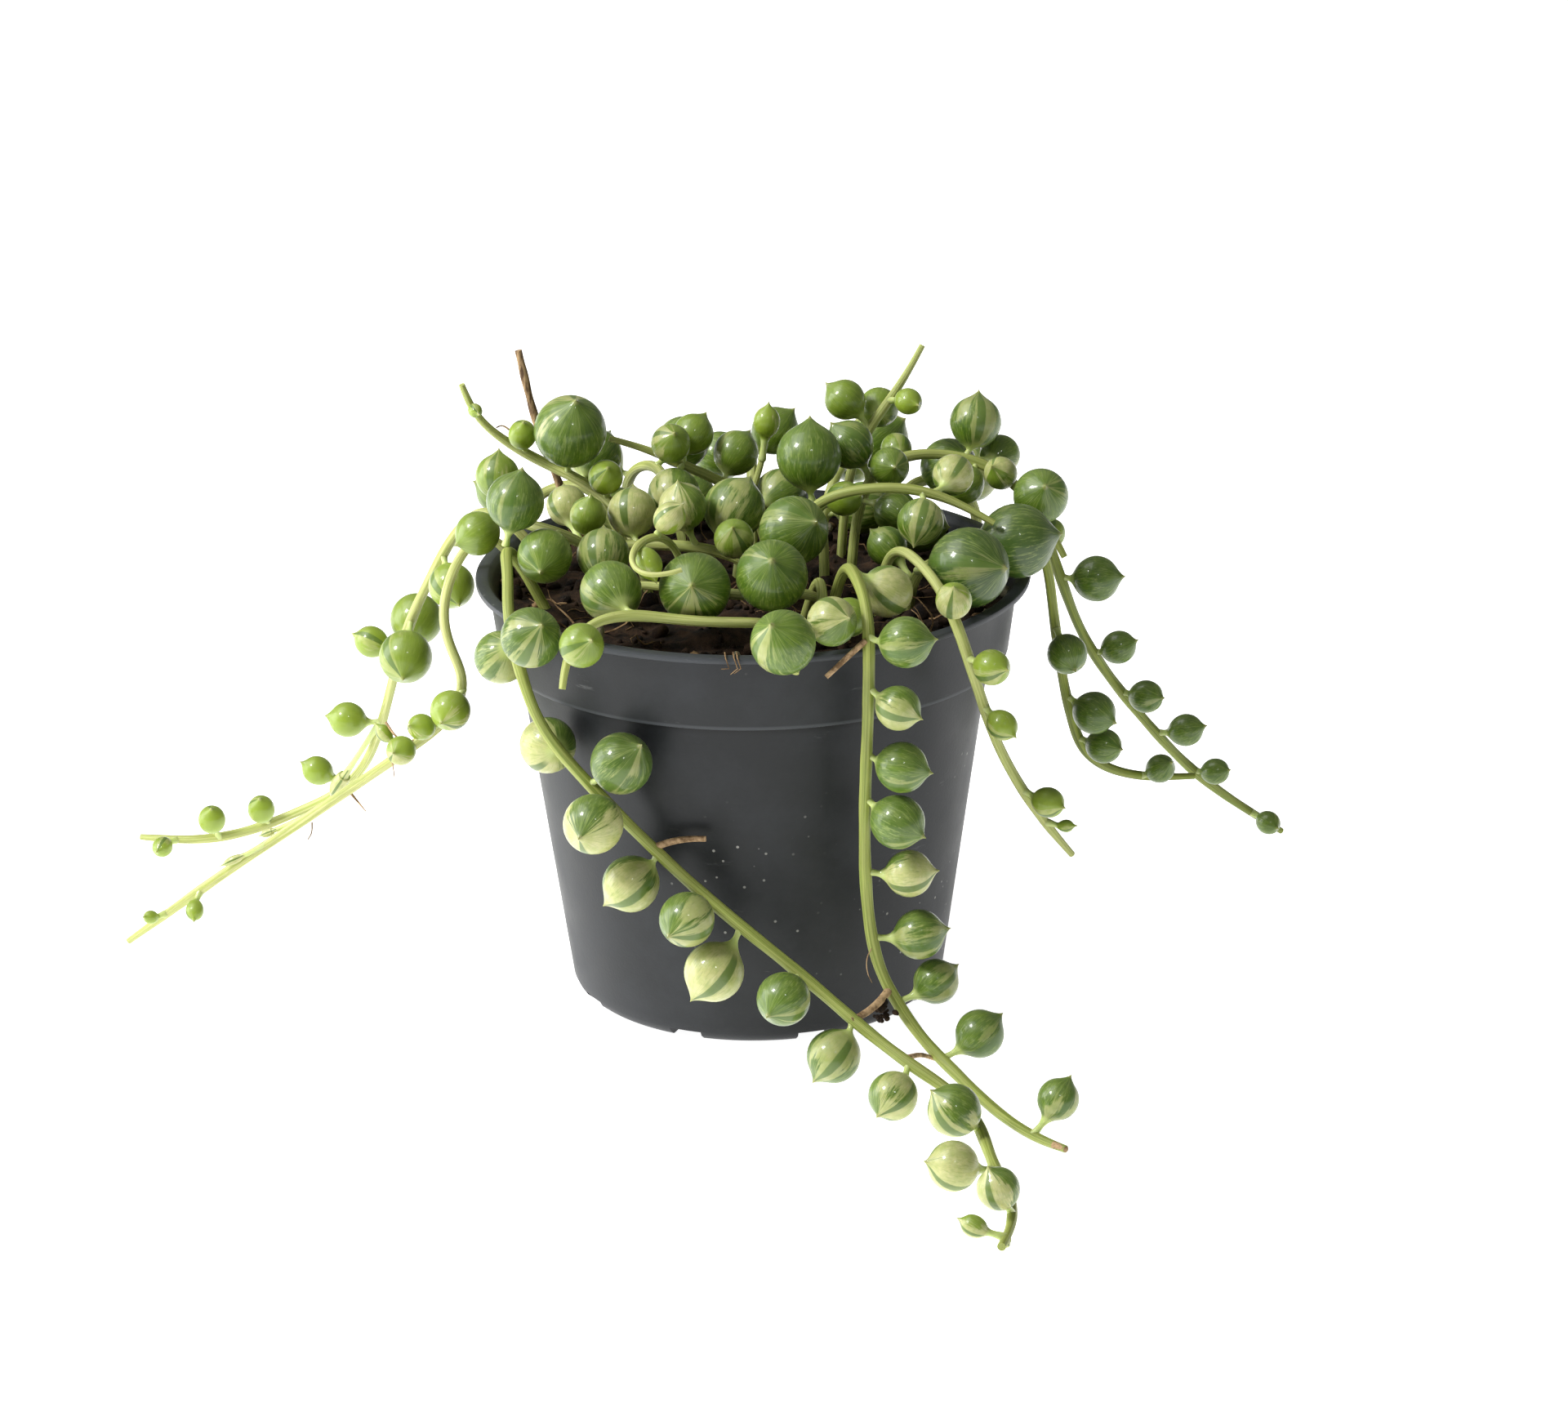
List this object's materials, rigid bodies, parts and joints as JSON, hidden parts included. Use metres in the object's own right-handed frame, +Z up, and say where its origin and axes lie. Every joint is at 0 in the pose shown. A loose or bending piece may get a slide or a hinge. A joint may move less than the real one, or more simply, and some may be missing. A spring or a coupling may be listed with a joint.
{
  "type": "potted string of pearls",
  "caption": "Trailing succulent with round bead-like leaves on thin stems, rooted in a small round tapered nursery pot filled with soil; rests on the pot's foot.",
  "frame": {"origin": "middle of the whole footprint, on the table that the pot stands on", "axes": "+Z up along the pot's axis, -Y towards the side that the picture shows, +X to the right in the picture"},
  "size_m": [0.1596, 0.1356, 0.0801],
  "materials": {
    "pot_plastic": "fine matte injection-moulded grey, dusty",
    "peat_soil": null,
    "leaf_green": null,
    "dry_stem": "dry brown stalk, matt"
  },
  "bodies": {
    "root": {"crown_back_1": "leaf_green", "crown_back_2": "leaf_green", "crown_back_3": "leaf_green", "crown_back_4": "leaf_green", "crown_back_5": "leaf_green", "crown_back_left": "leaf_green", "crown_bud": "leaf_green", "crown_centre": "leaf_green", "crown_curl": "leaf_green", "crown_far_left": "leaf_green", "crown_far_right": "leaf_green", "crown_front_left": "leaf_green", "crown_front_middle": "leaf_green", "crown_front_right": "leaf_green", "crown_left_shoot": "leaf_green", "crown_middle": "leaf_green", "crown_right_arch": "leaf_green", "crown_right_shoot": "leaf_green", "crown_upright": "leaf_green", "dry_stalk": "dry_stem", "pot": "pot_plastic", "soil": "peat_soil", "strand_front": "leaf_green", "strand_front_left": "leaf_green", "strand_front_right": "leaf_green", "strand_left": "leaf_green", "strand_left_long": "leaf_green", "strand_right": "leaf_green", "strand_right_long": "leaf_green"}
  },
  "joints": []
}
